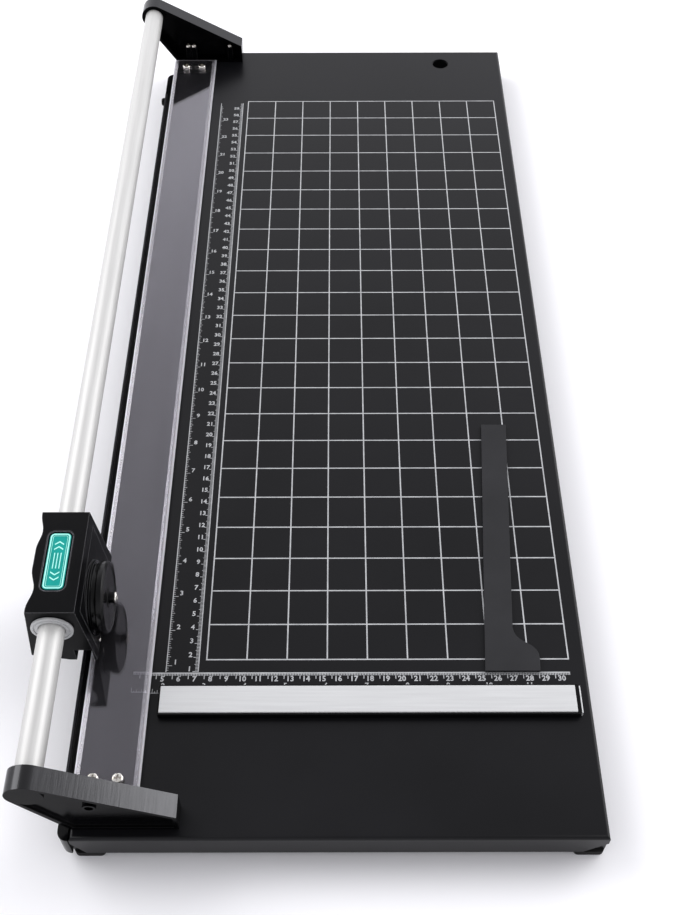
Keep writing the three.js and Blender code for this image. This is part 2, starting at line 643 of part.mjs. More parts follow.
function headBody() {
  const { wall, bulkhead, footY, topY, footZ, topZ } = HEAD;
  const [below, above] = [footZ - THROUGH, topZ + THROUGH];
  const sideView = polygon([[0, below], [footY, below], [topY, above], [0, above]]);
  const beyondLeft = HEAD_X.footLeft - THROUGH;
  const beyondRight = HEAD_X.footRight + THROUGH;
  let body = prism("y", headSection(0), 0, footY).intersect(prism("x", sideView, beyondLeft, beyondRight));
  for (const { y: middle, half, depth } of HOLLOWS) body = body.subtract(fingerHollow(middle, half, depth));
  body = body.subtract(prism("y", headSection(wall), bulkhead, topY - bulkhead));
  body = body.subtract(rod("y", BUSH.sleeveR + GAP, -THROUGH, footY + THROUGH, TUBE.x, TUBE.z, FINE));
  body = body.subtract(rod("y", BUSH.flangeR + GAP, BUSH.farSeat, footY + THROUGH, TUBE.x, TUBE.z, FINE));
  const bladeRoom = [BLADE.left - BLADE.side, BLADE.right + BLADE.side];
  body = body.subtract(rod("x", BLADE.r + BLADE.room, ...bladeRoom, AXLE.y, AXLE.z, FINE));
  const notchY = [-THROUGH, NOTCH.depth];
  body = body.subtract(block(NOTCH.left, NOTCH.right, ...notchY, below, NOTCH.top));
  body = body.subtract(coverSlab(GAP, THROUGH));
  body = body.subtract(rod("x", HUB.r + HUB.room, HUB.roomLeft, COVER.outermost, AXLE.y, AXLE.z, FINE));
  body = body.subtract(labelRecess());
  for (const hole of coverScrewHoles()) body = body.subtract(hole);
  return piece("head_body", body, satinPlastic);
}

function bladeCover() {
  const axle = (r, from, to) => rod("x", r, from, to, AXLE.y, AXLE.z, FINE);
  const standOut = COVER.seatX - headX("right", COVER.top) + COVER.thick;
  const bossDisc = axle(COVER.bossR, COVER.seatX - 2 * COVER.thick, COVER.seatX);
  const boss = bossDisc.intersect(coverSlab(0, standOut));
  let cover = coverSlab(0, 0).add(boss).subtract(axle(DRUM.r + 2 * GAP, COVER.seatX, COVER.outermost));
  cover = cover.subtract(axle(AXLE.r + GAP, BLADE.left, COVER.outermost));
  for (const hole of coverScrewHoles()) cover = cover.subtract(hole);
  return piece("blade_cover", cover, satinPlastic);
}

function bush(name, y, outward) {
  const { boreR, sleeveR, flangeR, flange, length } = BUSH;
  const seat = y + outward * GAP;
  const profile = [
    [boreR, seat - outward * length], [sleeveR, seat - outward * length], [sleeveR, seat],
    [flangeR, seat], [flangeR, seat + outward * flange], [boreR, seat + outward * flange],
  ];
  const ordered = outward > 0 ? profile : profile.reverse();
  return piece(name, turned("y", [...ordered, ordered[0]], TUBE.x, TUBE.z, FINE), palePlastic);
}

function label() {
  const { left, right, y, length, cornerR, thick, below } = LABEL;
  const outline = roundedRect(left, right, y, y + length, cornerR);
  const bottom = HEAD.topZ - thick - below;
  return piece("label_plate", prism("z", outline, bottom, bottom + thick, 3), labelGreen);
}

// The drum-shaped cap over the blade's spring.
function drum() {
  const { r, back, face, wall, innerR } = DRUM;
  const hole = AXLE.r + GAP;
  const profile = [
    [hole, face - wall], [innerR, face - wall], [innerR, back], [r, back], [r, back + 1],
    [r - 1.8, back + 1.5], [r - 1.8, back + 4], [r - 0.4, back + 4.5], [r - 0.4, face - 1.2],
    [r - 1.4, face - 0.2], [r - 2.6, face - 0.2], [r - 3.2, face - 0.6], [hole + 3, face - 0.6],
    [hole + 2, face], [hole, face], [hole, face - wall],
  ];
  return piece("blade_drum", turned("x", profile, AXLE.y, AXLE.z, FINE), glossPlastic);
}

function helixSpring() {
  const { r, wire, turns, left, right } = SPRING;
  class Helix extends THREE.Curve {
    getPoint(t) {
      const angle = 2 * Math.PI * turns * t;
      const x = THREE.MathUtils.lerp(left + wire, right - wire, t);
      return new THREE.Vector3(x, AXLE.y + r * Math.cos(angle), AXLE.z + r * Math.sin(angle));
    }
  }
  const section = new THREE.Shape();
  section.absarc(0, 0, wire, 0, 2 * Math.PI);
  const coil = new THREE.ExtrudeGeometry(section, {
    steps: turns * 10, extrudePath: new Helix(), bevelEnabled: false, curveSegments: 3,
  });
  return piece("blade_spring", solidOf(coil), screwSteel);
}

function bladeParts() {
  const onAxle = (name, profile, makeMaterial, segments = ROUND) =>
    piece(name, turned("x", profile, AXLE.y, AXLE.z, segments), makeMaterial);
  const bore = AXLE.r + GAP;
  const { left, tip, r } = AXLE;
  const bladeMid = (BLADE.left + BLADE.right) / 2;
  const ring = (from, to, outer) => [[bore, from], [outer, from], [outer, to], [bore, to], [bore, from]];
  const bladeProfile = [
    [bore, BLADE.left], [BLADE.r - BLADE.bevel, BLADE.left], [BLADE.r, bladeMid],
    [BLADE.r - 0.1 * BLADE.bevel, BLADE.right], [bore, BLADE.right], [bore, BLADE.left],
  ];
  const axleProfile = [
    [0, left], [r - 0.4, left], [r, left + 0.4], [r, tip - 0.8], [r - 0.8, tip], [1, tip], [0.6, tip - 0.8],
    [0, tip - 0.8],
  ];
  const nut = rod("x", NUT.cornerR, left + NUT.fromEnd, BLADE.left - GAP, AXLE.y, AXLE.z, 6)
    .subtract(rod("x", bore, left - THROUGH, BLADE.left, AXLE.y, AXLE.z, ROUND));
  const washerAt = SPRING.right + GAP;
  return [
    onAxle("rotary_blade", bladeProfile, satinSteel, 48),
    onAxle("blade_hub", ring(BLADE.right + GAP, HUB.right, HUB.r), darkSteel),
    piece("blade_nut", nut, darkSteel),
    onAxle("blade_axle", axleProfile, screwSteel),
    onAxle("spring_washer", ring(washerAt, washerAt + WASHER.thick, WASHER.r), screwSteel),
  ];
}

function headGroup() {
  const group = new THREE.Group();
  group.position.y = HEAD.y;
  group.add(headBody(), bladeCover(), drum(), helixSpring(), label(), ...bladeParts());
  group.add(bush("near_bush", 0, -1));
  group.add(bush("far_bush", BUSH.farSeat, 1));
  const { ys, z, r, headR, headH, length } = COVER_SCREW;
  ys.forEach((y, i) => {
    const screw = panScrew(`cover_screw_${i + 1}`, r, headR, headH, length);
    screw.rotation.y = Math.PI / 2;
    screw.position.set(headX("right", z) + 1.7 * GAP, y, z); // clear of the leaning flank
    group.add(screw);
  });
  return group;
}

// ---- Assembly ----
// The part's origin is the middle of the floor under its bounding box.
const part = new THREE.Group();
part.add(tableGroup(), knifeGroup(), railGroup(), stripGroup(), fenceGroup(), stopGroup(), headGroup());
part.position.set(
  -(HEAD_X.footLeft + TABLE.right) / 2,
  -(BED.front + TABLE.back) / 2,
  -FLOOR_Z,
);

export default part;
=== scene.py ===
"""A rotary paper trimmer: looks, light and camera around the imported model.

Lengths are written in millimetres in the table's own frame: X to the right, Y away from the front edge,
Z up from the table's top face, all counted from the zero corner of the printed grid.
"""
import json
import math

import bmesh
import bpy
from mathutils import Matrix, Vector

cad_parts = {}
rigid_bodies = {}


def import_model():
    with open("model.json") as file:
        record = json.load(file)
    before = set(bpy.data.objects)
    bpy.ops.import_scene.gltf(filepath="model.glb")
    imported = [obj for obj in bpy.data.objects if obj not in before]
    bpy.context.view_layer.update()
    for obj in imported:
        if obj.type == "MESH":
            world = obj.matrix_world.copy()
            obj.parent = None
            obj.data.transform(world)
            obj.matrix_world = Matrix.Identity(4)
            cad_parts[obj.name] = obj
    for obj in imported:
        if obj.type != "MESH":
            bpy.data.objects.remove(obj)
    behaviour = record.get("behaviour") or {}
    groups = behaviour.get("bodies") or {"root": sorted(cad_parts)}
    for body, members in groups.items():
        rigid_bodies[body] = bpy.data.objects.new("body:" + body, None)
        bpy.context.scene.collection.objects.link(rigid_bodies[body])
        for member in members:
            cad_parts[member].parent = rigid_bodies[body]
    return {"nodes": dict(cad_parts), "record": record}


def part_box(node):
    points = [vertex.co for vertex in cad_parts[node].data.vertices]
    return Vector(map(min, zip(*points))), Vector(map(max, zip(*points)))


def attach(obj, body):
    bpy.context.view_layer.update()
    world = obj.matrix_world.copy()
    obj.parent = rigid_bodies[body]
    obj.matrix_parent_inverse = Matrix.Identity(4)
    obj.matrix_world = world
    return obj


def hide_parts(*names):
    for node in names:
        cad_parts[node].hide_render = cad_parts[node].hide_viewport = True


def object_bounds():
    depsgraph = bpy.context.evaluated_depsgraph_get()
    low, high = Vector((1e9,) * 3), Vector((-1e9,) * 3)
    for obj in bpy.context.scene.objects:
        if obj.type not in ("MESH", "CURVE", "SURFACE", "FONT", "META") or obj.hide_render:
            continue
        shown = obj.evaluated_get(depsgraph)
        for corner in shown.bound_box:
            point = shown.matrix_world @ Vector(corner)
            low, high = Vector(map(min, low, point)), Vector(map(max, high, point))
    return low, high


for start_object in list(bpy.data.objects):
    bpy.data.objects.remove(start_object)

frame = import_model()
cad_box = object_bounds()

MM = 0.001
NODES = frame["nodes"]
TABLE_LEFT = -72.0
TABLE_FRONT = -115.5
table_low, table_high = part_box("base_plate")
ZERO = Vector((table_low.x - TABLE_LEFT * MM, table_low.y - TABLE_FRONT * MM, table_high.z))


def at(x, y, z):
    """A point of the table's frame, in metres in the row frame."""
    return ZERO + Vector((x, y, z)) * MM


# ---------------------------------------------------------------- material helpers
class Nodes:
    """A material's node tree, with short calls for the nodes that the materials share."""

    def __init__(self, name):
        self.material = bpy.data.materials.new(name)
        self.material.use_nodes = True
        self.tree = self.material.node_tree
        self.shader = self.tree.nodes["Principled BSDF"]
        coordinates = self.tree.nodes.new("ShaderNodeTexCoord")
        self.place = coordinates.outputs["Object"]

    def set(self, **values):
        for name, value in values.items():
            self.shader.inputs[name.replace("_", " ")].default_value = value

    def link(self, output, socket):
        self.tree.links.new(output, self.shader.inputs[socket])

    def scaled(self, stretch):
        mapping = self.tree.nodes.new("ShaderNodeMapping")
        mapping.inputs["Scale"].default_value = stretch
        self.tree.links.new(self.place, mapping.inputs["Vector"])
        return mapping.outputs["Vector"]

    def noise(self, scale, detail, stretch=(1, 1, 1)):
        node = self.tree.nodes.new("ShaderNodeTexNoise")
        node.inputs["Scale"].default_value = scale
        node.inputs["Detail"].default_value = detail
        node.inputs["Roughness"].default_value = 0.55
        self.tree.links.new(self.scaled(stretch), node.inputs["Vector"])
        return node.outputs["Fac"]

    def ramp(self, factor, stops):
        """A colour ramp; stops are (position, colour) pairs from low to high."""
        node = self.tree.nodes.new("ShaderNodeValToRGB")
        elements = node.color_ramp.elements
        for (position, colour), element in zip((stops[0], stops[-1]), (elements[0], elements[1])):
            element.position = position
            element.color = (*colour, 1)
        for position, colour in stops[1:-1]:
            elements.new(position).color = (*colour, 1)
        self.tree.links.new(factor, node.inputs["Fac"])
        return node.outputs["Color"]

    def span(self, factor, low, high):
        node = self.tree.nodes.new("ShaderNodeMapRange")
        node.inputs["To Min"].default_value = low
        node.inputs["To Max"].default_value = high
        self.tree.links.new(factor, node.inputs["Value"])
        return node.outputs["Result"]

    def mixed(self, factor, output, colour):
        """The output's colour where the factor is 0, and the given colour where it is 1."""
        node = self.tree.nodes.new("ShaderNodeMix")
        node.data_type = "RGBA"
        node.inputs["B"].default_value = (*colour, 1)
        self.tree.links.new(factor, node.inputs["Factor"])
        self.tree.links.new(output, node.inputs["A"])
        return node.outputs["Result"]

    def combined(self, operation, a, b):
        node = self.tree.nodes.new("ShaderNodeMath")
        node.operation = operation
        self.tree.links.new(a, node.inputs[0])
        self.tree.links.new(b, node.inputs[1])
        return node.outputs["Value"]

    def total(self, a, b):
        return self.combined("ADD", a, b)

    def product(self, a, b):
        return self.combined("MULTIPLY", a, b)

    def between(self, axis, start, end):
        """0 where the place along the axis is at start, 1 where it is at end."""
        parts = self.tree.nodes.new("ShaderNodeSeparateXYZ")
        self.tree.links.new(self.place, parts.inputs["Vector"])
        node = self.tree.nodes.new("ShaderNodeMapRange")
        node.inputs["From Min"].default_value = start
        node.inputs["From Max"].default_value = end
        self.tree.links.new(parts.outputs[axis], node.inputs["Value"])
        return node.outputs["Result"]

    def turned(self, axis, aligned, crossed):
        """0 where the normal's part along the axis is at least aligned, 1 where it is at most crossed."""
        geometry = self.tree.nodes.new("ShaderNodeNewGeometry")
        parts = self.tree.nodes.new("ShaderNodeSeparateXYZ")
        self.tree.links.new(geometry.outputs["Normal"], parts.inputs["Vector"])
        along = self.tree.nodes.new("ShaderNodeMath")
        along.operation = "ABSOLUTE"
        self.tree.links.new(parts.outputs[axis], along.inputs[0])
        node = self.tree.nodes.new("ShaderNodeMapRange")
        node.inputs["From Min"].default_value = aligned
        node.inputs["From Max"].default_value = crossed
        self.tree.links.new(along.outputs["Value"], node.inputs["Value"])
        return node.outputs["Result"]

    def slope(self):
        """0 on level faces, up or down, and 1 on faces that lean by more than about 16 degrees."""
        return self.turned("Z", 0.99, 0.96)

    def across(self, axis):
        """0 on faces that look along the axis, 1 on faces turned from it by 60 degrees or more."""
        return self.turned(axis, 0.85, 0.5)

    def bump(self, height, distance, strength, under=None):
        node = self.tree.nodes.new("ShaderNodeBump")
        node.inputs["Strength"].default_value = strength
        node.inputs["Distance"].default_value = distance
        self.tree.links.new(height, node.inputs["Height"])
        if under is not None:
            self.tree.links.new(under, node.inputs["Normal"])
        return node.outputs["Normal"]

    def worn_edges(self, radius):
        """How much a point differs from the mesh's flat faces: 0 on a face, more on an edge."""
        bevel = self.tree.nodes.new("ShaderNodeBevel")
        bevel.inputs["Radius"].default_value = radius
        geometry = self.tree.nodes.new("ShaderNodeNewGeometry")
        dot = self.tree.nodes.new("ShaderNodeVectorMath")
        dot.operation = "DOT_PRODUCT"
        self.tree.links.new(bevel.outputs["Normal"], dot.inputs[0])
        self.tree.links.new(geometry.outputs["Normal"], dot.inputs[1])
        node = self.tree.nodes.new("ShaderNodeMapRange")
        node.inputs["From Min"].default_value = 1.0
        node.inputs["From Max"].default_value = 0.8
        self.tree.links.new(dot.outputs["Value"], node.inputs["Value"])
        return node.outputs["Result"]


def clouded(name, dark, light, rough, cloud, specular):
    """A skin with soft clouds in its colour and its roughness. Gives its nodes and its colour."""
    n = Nodes(name)
    n.set(Specular_IOR_Level=specular)
    clouds = n.noise(cloud, 4)
    colour = n.ramp(clouds, [(0.3, dark), (0.7, light)])
    n.link(colour, "Base Color")
    n.link(n.span(clouds, *rough), "Roughness")
    return n, colour


def grained(name, dark, light, rough, grain, grain_depth, cloud, specular=0.5):
    """A painted or moulded skin: soft clouds, and a fine grain in the bump."""
    n, _ = clouded(name, dark, light, rough, cloud, specular)
    n.link(n.bump(n.noise(grain, 2), grain_depth, 0.6), "Normal")
    return n.material


def streaked(name, dark, light, rough, specular):
    """Paint over a casting, with drawn streaks across its thickness. Gives its nodes and its colour."""
    n = Nodes(name)
    n.set(Specular_IOR_Level=specular)
    colour = n.ramp(n.noise(30, 4), [(0.3, dark), (0.7, light)])
    n.link(colour, "Base Color")
    streaks = n.noise(650, 4, (1, 0.06, 0.6))
    n.link(n.span(streaks, *rough), "Roughness")
    skin = n.bump(n.noise(900, 2), 0.00001, 0.4)
    n.link(n.bump(streaks, 0.00006, 0.55, skin), "Normal")
    return n, colour


def brushed(name, dark, light, metallic, rough, stretch, scale=500, depth=0.00001):
    """Metal with fine lines along one axis; stretch has a small number on that axis."""
    n = Nodes(name)
    n.set(Metallic=metallic)
    lines = n.noise(scale, 3, stretch)
    n.link(n.ramp(lines, [(0.3, dark), (0.7, light)]), "Base Color")
    n.link(n.span(lines, *rough), "Roughness")
    n.link(n.bump(lines, depth, 0.5), "Normal")
    return n.material


# ---------------------------------------------------------------- materials
def table_paint():
    """Black powder coat: orange-peel waves under a fine grain."""
    dark = (0.0045, 0.0045, 0.0055)
    light = (0.0070, 0.0070, 0.0085)
    n, _ = clouded("table_paint", dark, light, (0.27, 0.36), 9, 0.25)
    waves = n.bump(n.noise(260, 2), 0.00003, 0.35)
    n.link(n.bump(n.noise(1400, 2), 0.00002, 0.5, waves), "Normal")
    return n.material


def cast_paint():
    """Satin black paint on the bed, the fence's carrier and the knife's end screw."""
    n, _ = streaked("cast_paint", (0.0015, 0.0015, 0.0018), (0.004, 0.004, 0.0045), (0.10, 0.24), 0.19)
    return n.material


def bracket_paint():
    """Matt black paint on a casting. The rim faces, picked by which way they face, get a paler metallic
    colour: partly the dressed casting's bare metal, partly a painted highlight where the key light falls.
    """
    n, paint = streaked("bracket_paint", (0.001, 0.001, 0.0012), (0.0025, 0.0025, 0.003), (0.10, 0.26), 0.04)
    # Painted highlight: faces turned away from Y get a paler metallic colour, so they catch the key light.
    rim = n.across("Y")
    n.link(n.mixed(rim, paint, (0.050, 0.050, 0.052)), "Base Color")
    n.link(rim, "Metallic")
    return n.material


def tube_steel():
    dark = (0.525, 0.522, 0.510)
    light = (0.585, 0.582, 0.570)
    return brushed("tube_steel", dark, light, 0.35, (0.42, 0.54), (1, 0.03, 1))


def knife_steel():
    return brushed("knife_steel", (0.30, 0.31, 0.33), (0.45, 0.46, 0.48), 1.0, (0.22, 0.36), (1, 0.04, 1))


def black_steel():
    """Near-black steel on the fixed knife, ground in long lines."""
    dark = (0.012, 0.012, 0.014)
    light = (0.030, 0.030, 0.034)
    return brushed("black_steel", dark, light, 0.6, (0.30, 0.42), (1, 0.04, 1))


def dark_steel():
    return brushed("dark_steel", (0.045, 0.045, 0.05), (0.10, 0.10, 0.11), 0.9, (0.28, 0.45), (1, 0.2, 1))


def screw_steel():
    """Bright plating with a faint warm and pink cast."""
    n = Nodes("screw_steel")
    n.set(Metallic=1.0)
    clouds = n.noise(400, 3)
    n.link(n.ramp(clouds, [(0.3, (0.68, 0.62, 0.60)), (0.5, (0.78, 0.76, 0.72)), (0.7, (0.84, 0.80, 0.70))]),
           "Base Color")
    n.link(n.span(clouds, 0.16, 0.30), "Roughness")
    n.link(n.bump(n.noise(3000, 2), 0.00001, 0.4), "Normal")
    return n.material


def head_plastic():
    """Black moulded plastic with a fine spark-eroded grain, and a painted highlight that makes every edge
    paler.
    """
    dark = (0.0025, 0.0025, 0.003)
    light = (0.0045, 0.0044, 0.0052)
    n, colour = clouded("head_plastic", dark, light, (0.26, 0.36), 40, 0.09)
    # Painted highlight: every edge is mixed towards pale grey.
    n.link(n.mixed(n.worn_edges(0.0008), colour, (0.12, 0.12, 0.125)), "Base Color")
    n.link(n.bump(n.noise(2200, 2), 0.00003, 0.6), "Normal")
    return n.material


def gloss_plastic():
    return grained("gloss_plastic", (0.002, 0.002, 0.0024), (0.004, 0.004, 0.0045), (0.12, 0.22),
                   grain=600, grain_depth=0.00001, cloud=60, specular=0.3)


def pale_plastic():
    return grained("pale_plastic", (0.50, 0.505, 0.51), (0.60, 0.605, 0.61), (0.42, 0.55),
                   grain=1800, grain_depth=0.00002, cloud=70)


def rubber():
    return grained("rubber", (0.008, 0.008, 0.008), (0.018, 0.018, 0.018), (0.75, 0.9),
                   grain=1100, grain_depth=0.00008, cloud=50, specular=0.3)


RIM_DROP = 1.4  # how far the clear strip's rim slopes down, in millimetres


def clear_plastic():
    """Clear acrylic over a dark bed: a mirror-like face with a faint haze, and a rim that pales outwards."""
    n = Nodes("clear_plastic")
    n.set(IOR=1.7, Coat_Weight=0.3, Coat_IOR=1.5, Coat_Roughness=0.02, Specular_Tint=(0.95, 0.92, 1.0, 1))
    marks = n.noise(60, 4, (1, 0.15, 1))
    haze = n.ramp(marks, [(0.35, (0.86, 0.84, 0.90)), (0.7, (0.92, 0.90, 0.96))])
    rim = n.slope()
    strip_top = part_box("clear_strip")[1].z
    outward = n.between("Z", strip_top, strip_top - RIM_DROP * MM)
    pale = n.product(outward, n.product(outward, outward))
    n.link(n.mixed(n.product(rim, pale), haze, (0.80, 0.80, 0.83)), "Base Color")
    rim_loss = n.product(rim, n.span(pale, -0.16, -0.60))
    n.link(n.total(rim_loss, n.span(marks, 0.998, 0.985)), "Transmission Weight")
    sawn = n.product(rim, n.span(outward, 0.15, 0.3))
    n.link(n.total(n.span(marks, 0.01, 0.03), sawn), "Roughness")
    return n.material


def fence_aluminium():
    return brushed("fence_aluminium", (0.56, 0.563, 0.566), (0.61, 0.613, 0.616), 0.3, (0.38, 0.5),
                   (0.03, 1, 1), scale=700, depth=0.000008)


def stop_paint():
    """Dark grey matt paint on the loose paper stop."""
    return grained("stop_paint", (0.013, 0.013, 0.015), (0.022, 0.022, 0.025), (0.62, 0.75),
                   grain=1500, grain_depth=0.00004, cloud=25, specular=0.35)


def label_teal():
    return grained("label", (0.0005, 0.26, 0.23), (0.001, 0.33, 0.29), (0.28, 0.38),
                   grain=1200, grain_depth=0.000008, cloud=90, specular=0.22)


def label_mint():
    return grained("label_mint", (0.34, 0.80, 0.70), (0.46, 0.88, 0.79), (0.35, 0.45),
                   grain=1200, grain_depth=0.00001, cloud=90)


def label_silver():
    return brushed("label_silver", (0.10, 0.10, 0.11), (0.20, 0.20, 0.22), 0.8, (0.22, 0.32), (1, 0.1, 1))


def print_ink():
    """White screen-printing ink: a little thin in places."""
    return grained("print_ink", (0.35, 0.355, 0.365), (0.48, 0.485, 0.495), (0.55, 0.7),
                   grain=2600, grain_depth=0.00001, cloud=140)


# One material for each slot of the record.
MATERIALS = {
    "table_paint": table_paint(),
    "cast_paint": cast_paint(),
    "tube_steel": tube_steel(),
    "knife_steel": knife_steel(),
    "dark_steel": dark_steel(),
    "screw_steel": screw_steel(),
    "head_plastic": head_plastic(),
    "gloss_plastic": gloss_plastic(),
    "pale_plastic": pale_plastic(),
    "rubber": rubber(),
    "clear_plastic": clear_plastic(),
    "fence_aluminium": fence_aluminium(),
    "stop_paint": stop_paint(),
    "label": label_teal(),
}
BRACKET = bracket_paint()
# The nodes whose finish differs from their slot's.
NODE_MATERIALS = {"fixed_knife": black_steel(), "near_bracket": BRACKET, "far_bracket": BRACKET}
INK = print_ink()
MINT = label_mint()
SILVER = label_silver()


# ---------------------------------------------------------------- carried-over CAD nodes
# Width in millimetres of the small rounding that each casting, moulding or sheet has on its edges.
EDGE_ROUNDING = {
    "near_bracket": 0.6,
    "far_bracket": 0.6,
    "head_body": 0.5,
    "blade_cover": 0.4,
    "paper_stop": 0.35,
    "fence": 0.25,
    "fence_carrier": 0.35,
    "fence_end_plate": 0.2,
    "blade_bed": 0.4,
    "label_plate": 0.25,
    "foot_front_left": 1.0,
    "foot_front_right": 1.0,
    "foot_back_left": 1.0,
    "foot_back_right": 1.0,
}
FLAT_NODES = ["clear_strip"]
SHARP_ANGLE = math.radians(32)


def finish_node(name, node, material):
    """Gives a CAD node its material, welds its faces and rounds its edges in the modifier stack."""
    node.data.materials.clear()
    node.data.materials.append(material)
    custom = node.data.attributes.get("custom_normal")
    if custom is not None:
        node.data.attributes.remove(custom)
    rounded = name not in FLAT_NODES
    node.data.polygons.foreach_set("use_smooth", [rounded] * len(node.data.polygons))
    weld = node.modifiers.new("weld", "WELD")
    weld.merge_threshold = 0.002 * MM
    if not rounded:
        return
    if name in EDGE_ROUNDING:
        flatten = node.modifiers.new("flatten", "DECIMATE")
        flatten.decimate_type = "DISSOLVE"
        flatten.angle_limit = math.radians(1.0)
        bevel = node.modifiers.new("bevel", "BEVEL")
        bevel.width = EDGE_ROUNDING[name] * MM
        bevel.segments = 2
        bevel.limit_method = "ANGLE"
        bevel.angle_limit = SHARP_ANGLE
        bevel.use_clamp_overlap = True
        bevel.miter_outer = "MITER_ARC"
    else:
        split = node.modifiers.new("split", "EDGE_SPLIT")
        split.split_angle = SHARP_ANGLE
    even = node.modifiers.new("even", "WEIGHTED_NORMAL")
    even.keep_sharp = True


for subpart in frame["record"]["subparts"]:
    node_name = subpart["node"]
    slot_material = MATERIALS[subpart["material_slot"]]
    finish_node(node_name, NODES[node_name], NODE_MATERIALS.get(node_name, slot_material))


# ---------------------------------------------------------------- mesh helpers
def make_piece(name, bm, body, material, smooth=True, replaces=()):
    """Turns a bmesh in the row frame into a piece that rides on a body."""
    bmesh.ops.recalc_face_normals(bm, faces=bm.faces)
    mesh = bpy.data.meshes.new(name)
    bm.to_mesh(mesh)
    bm.free()
    mesh.materials.append(material)
    mesh.polygons.foreach_set("use_smooth", [smooth] * len(mesh.polygons))
    if smooth:
        mesh.set_sharp_from_angle(angle=SHARP_ANGLE)
    piece = bpy.data.objects.new(name, mesh)
    bpy.context.scene.collection.objects.link(piece)
    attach(piece, body)
    if replaces:
        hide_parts(*replaces)
    return piece


def frame_along(axis, centre):
    """Places local (u, v, along) so that the third coordinate runs along a row axis from its zero."""
    columns = {
        "x": ((0, 1, 0), (0, 0, 1), (1, 0, 0)),
        "y": ((0, 0, 1), (1, 0, 0), (0, 1, 0)),
        "z": ((1, 0, 0), (0, 1, 0), (0, 0, 1)),
    }[axis]
    turn = Matrix(columns).transposed().to_4x4()
    return Matrix.Translation(centre) @ turn


def lathe(bm, profile, sides, place):
    """Turns a closed profile of (radius, along) points, in metres, about the local third axis."""
    rings = []
    for radius, along in profile:
        if radius < 1e-9:
            rings.append([bm.verts.new(place @ Vector((0, 0, along)))])
            continue
        ring = []
        for i in range(sides):
            angle = 2 * math.pi * i / sides
            point = Vector((radius * math.cos(angle), radius * math.sin(angle), along))
            ring.append(bm.verts.new(place @ point))
        rings.append(ring)
    pairs = list(zip(rings, rings[1:] + rings[:1]))
    for low, high in pairs:
        if len(low) == 1 and len(high) == 1:
            continue
        for i in range(sides):
            j = (i + 1) % sides
            corners = [low[i % len(low)], low[j % len(low)], high[j % len(high)], high[i % len(high)]]
            unique = list(dict.fromkeys(corners))
            bm.faces.new(unique)


def add_block(bm, x0, x1, y0, y1, z0, z1):
    """A block in table millimetres."""
    corners = [bm.verts.new(at(x, y, z)) for z in (z0, z1) for y in (y0, y1) for x in (x0, x1)]
    for face in ((0, 2, 3, 1), (4, 5, 7, 6), (0, 1, 5, 4), (2, 6, 7, 3), (0, 4, 6, 2), (1, 3, 7, 5)):
        bm.faces.new([corners[i] for i in face])


def rounded_corner(profile_corner, before, after, r, steps=4):
    """Points of a curve that rounds one corner of a profile; it starts and ends r away from the corner."""
    corner = Vector(profile_corner)
    to_before = (Vector(before) - corner).normalized() * r
    to_after = (Vector(after) - corner).normalized() * r
    points = []
    for i in range(steps + 1):
        t = i / steps
        points.append(corner + to_before * (1 - t) ** 2 + to_after * t ** 2)
    return [tuple(p) for p in points]


def rounded_profile(points, r):
    """Rounds every corner of a closed profile by r."""
    rounded = []
    for i, corner in enumerate(points):
        rounded += rounded_corner(corner, points[i - 1], points[(i + 1) % len(points)], r)
    return rounded


# ---------------------------------------------------------------- turned pieces, finer than the CAD solids
FINE_SIDES = 96
# Sizes in millimetres that the CAD solids share.
TUBE_WALL = 1.6
BUSH = {"bore_r": 8.3, "sleeve_r": 9.7, "flange": 1.5}
DRUM = {"inner_r": 19.5, "wall": 2}
AXLE_HOLE_R = 3.8
BLADE_BEVEL = 2


def box_facts(node, axis):
    """A node's centre across an axis, its largest radius, and where it starts and ends along it."""
    low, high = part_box(node)
    i = "xyz".index(axis)
    centre = (low + high) / 2
    radius = max((high - low)[k] for k in range(3) if k != i) / 2
    centre[i] = 0
    return centre, radius, low[i], high[i]


def rail_tube():
    centre, radius, start, end = box_facts("guide_tube", "y")
    bore = radius - TUBE_WALL * MM
    profile = rounded_profile([(bore, start), (radius, start), (radius, end), (bore, end)], 0.4 * MM)
    bm = bmesh.new()
    lathe(bm, profile, FINE_SIDES, frame_along("y", centre))
    make_piece("rail_tube", bm, "table", MATERIALS["tube_steel"], replaces=["guide_tube"])


def bush_ring(node, outward):
    """A pale bush: a sleeve in the head with a rounded flange outside it."""
    centre, radius, start, end = box_facts(node, "y")
    bore = BUSH["bore_r"] * MM
    sleeve = BUSH["sleeve_r"] * MM
    face, back = (end, start) if outward > 0 else (start, end)
    seat = face - outward * BUSH["flange"] * MM
    floor = face - outward * 0.6 * MM  # of the groove in the flange's face
    groove_out = radius - 1.6 * MM
    groove_in = radius - 2.6 * MM
    draft = 0.2 * MM
    corners = [
        (bore, back), (sleeve, back), (sleeve, seat), (radius, seat), (radius, face), (groove_out, face),
        (groove_out - draft, floor), (groove_in + draft, floor), (groove_in, face), (bore, face),
    ]
    bm = bmesh.new()
    lathe(bm, rounded_profile(corners, 0.12 * MM), FINE_SIDES, frame_along("y", centre))
    make_piece(node + "_ring", bm, "head", MATERIALS["pale_plastic"], replaces=[node])


